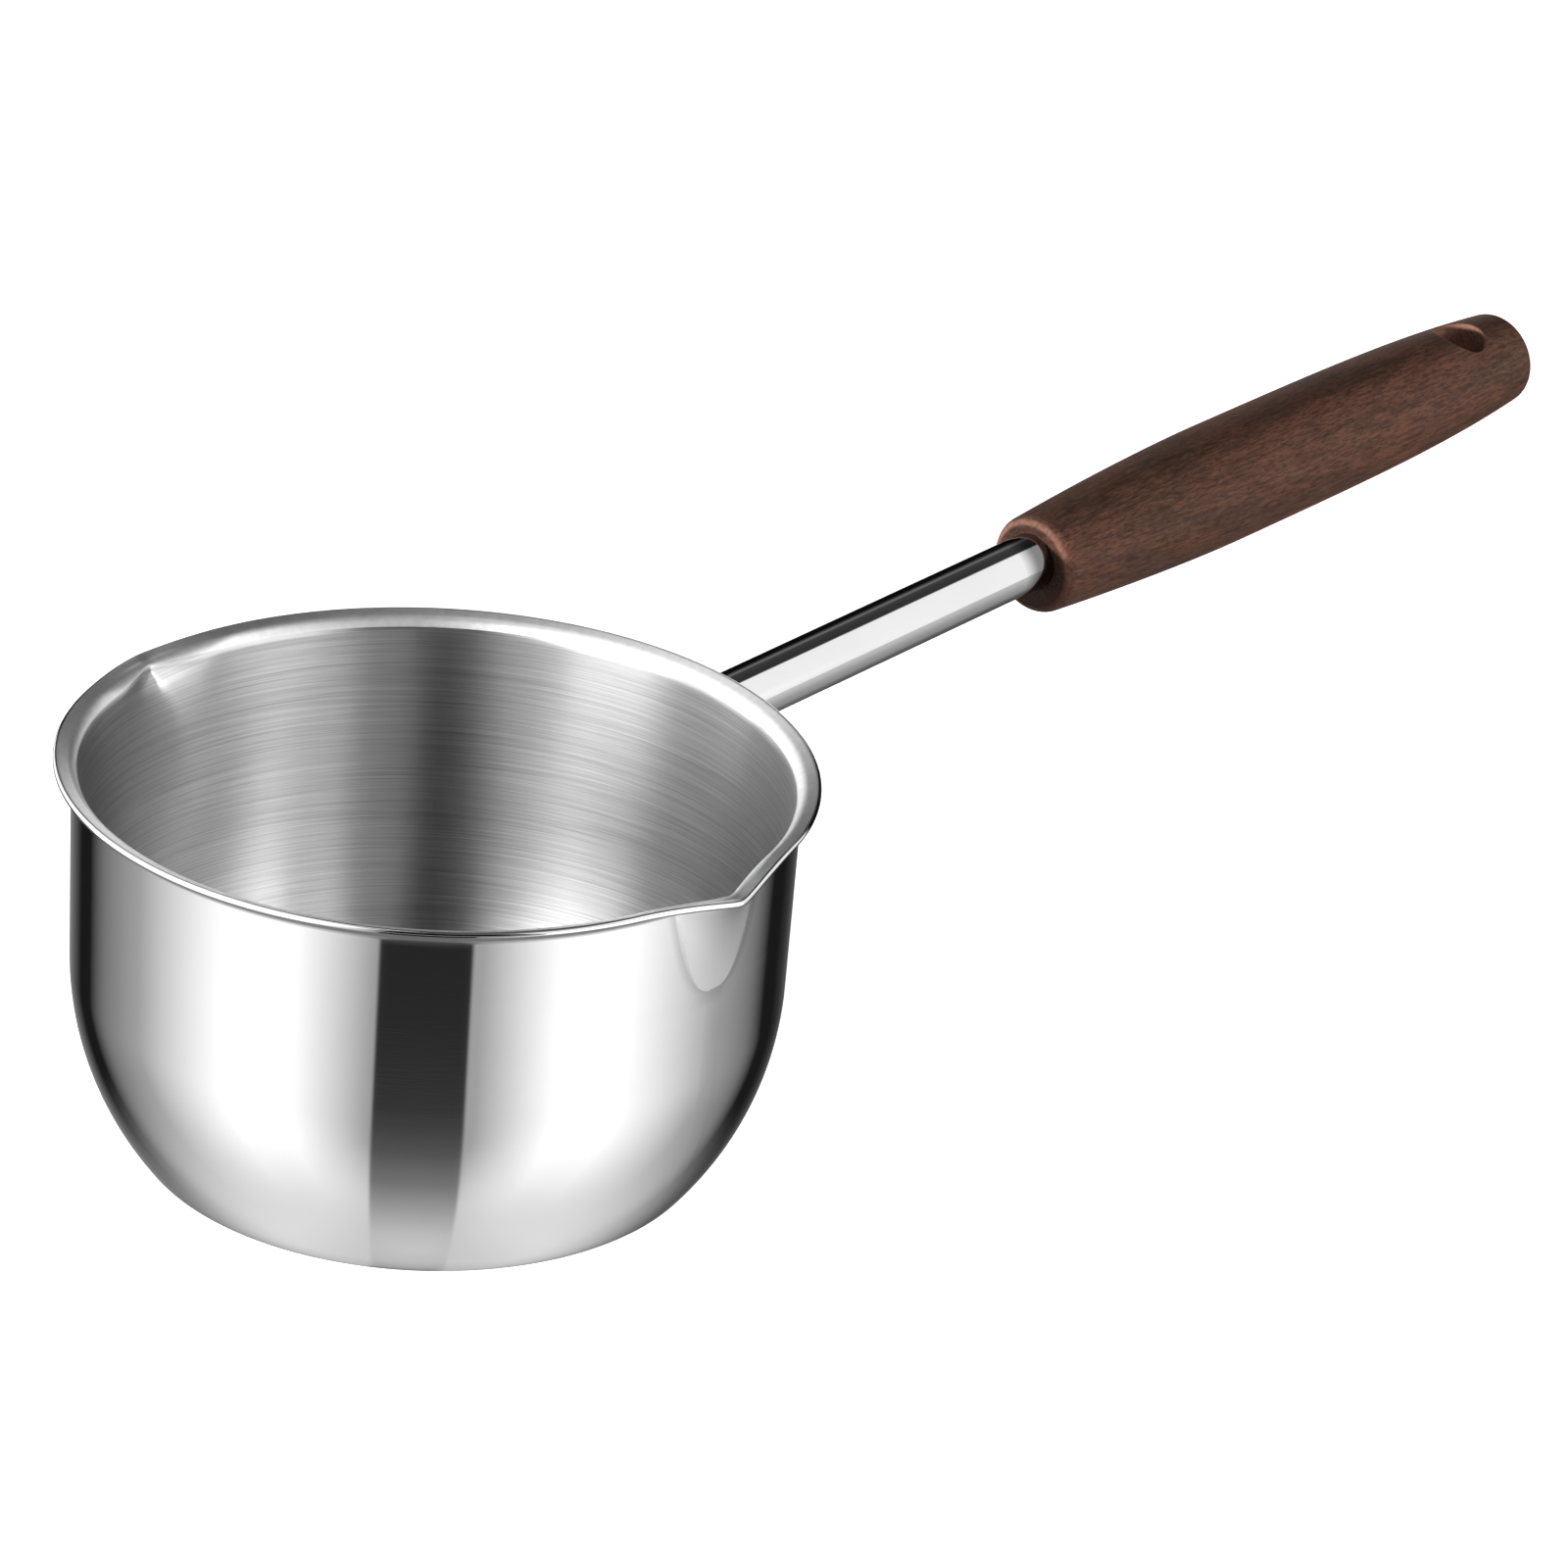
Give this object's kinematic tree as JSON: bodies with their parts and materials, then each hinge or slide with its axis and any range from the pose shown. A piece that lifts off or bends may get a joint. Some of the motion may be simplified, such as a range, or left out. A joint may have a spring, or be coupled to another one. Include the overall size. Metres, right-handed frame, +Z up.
{
  "type": "hot oil pan",
  "caption": "Small deep steel pan with a rolled rim, opposed pouring spouts, a straight welded tube handle and a turned wooden grip with a hanging hole, for heating and pouring oil.",
  "frame": {"origin": "centre of the flat base, on the axis of the bowl", "axes": "+X from the bowl towards the handle's tail, +Y towards one pouring spout, +Z up out of the bowl"},
  "size_m": [0.3183, 0.1152, 0.0621],
  "materials": {
    "bowl_steel": "mirror polished outside, brushed round the axis inside",
    "tube_steel": "mirror polished",
    "weld_steel": "wire brushed weld",
    "plain_steel": "as machined",
    "dark_wood": "dark stained, satin oiled, fine grain along the grip"
  },
  "bodies": {
    "root": {"pan_bowl": "bowl_steel", "handle_weld": "weld_steel", "handle_tube": "tube_steel", "tube_plug": "plain_steel", "hanger_stud": "plain_steel", "wood_grip": "dark_wood"}
  },
  "joints": []
}
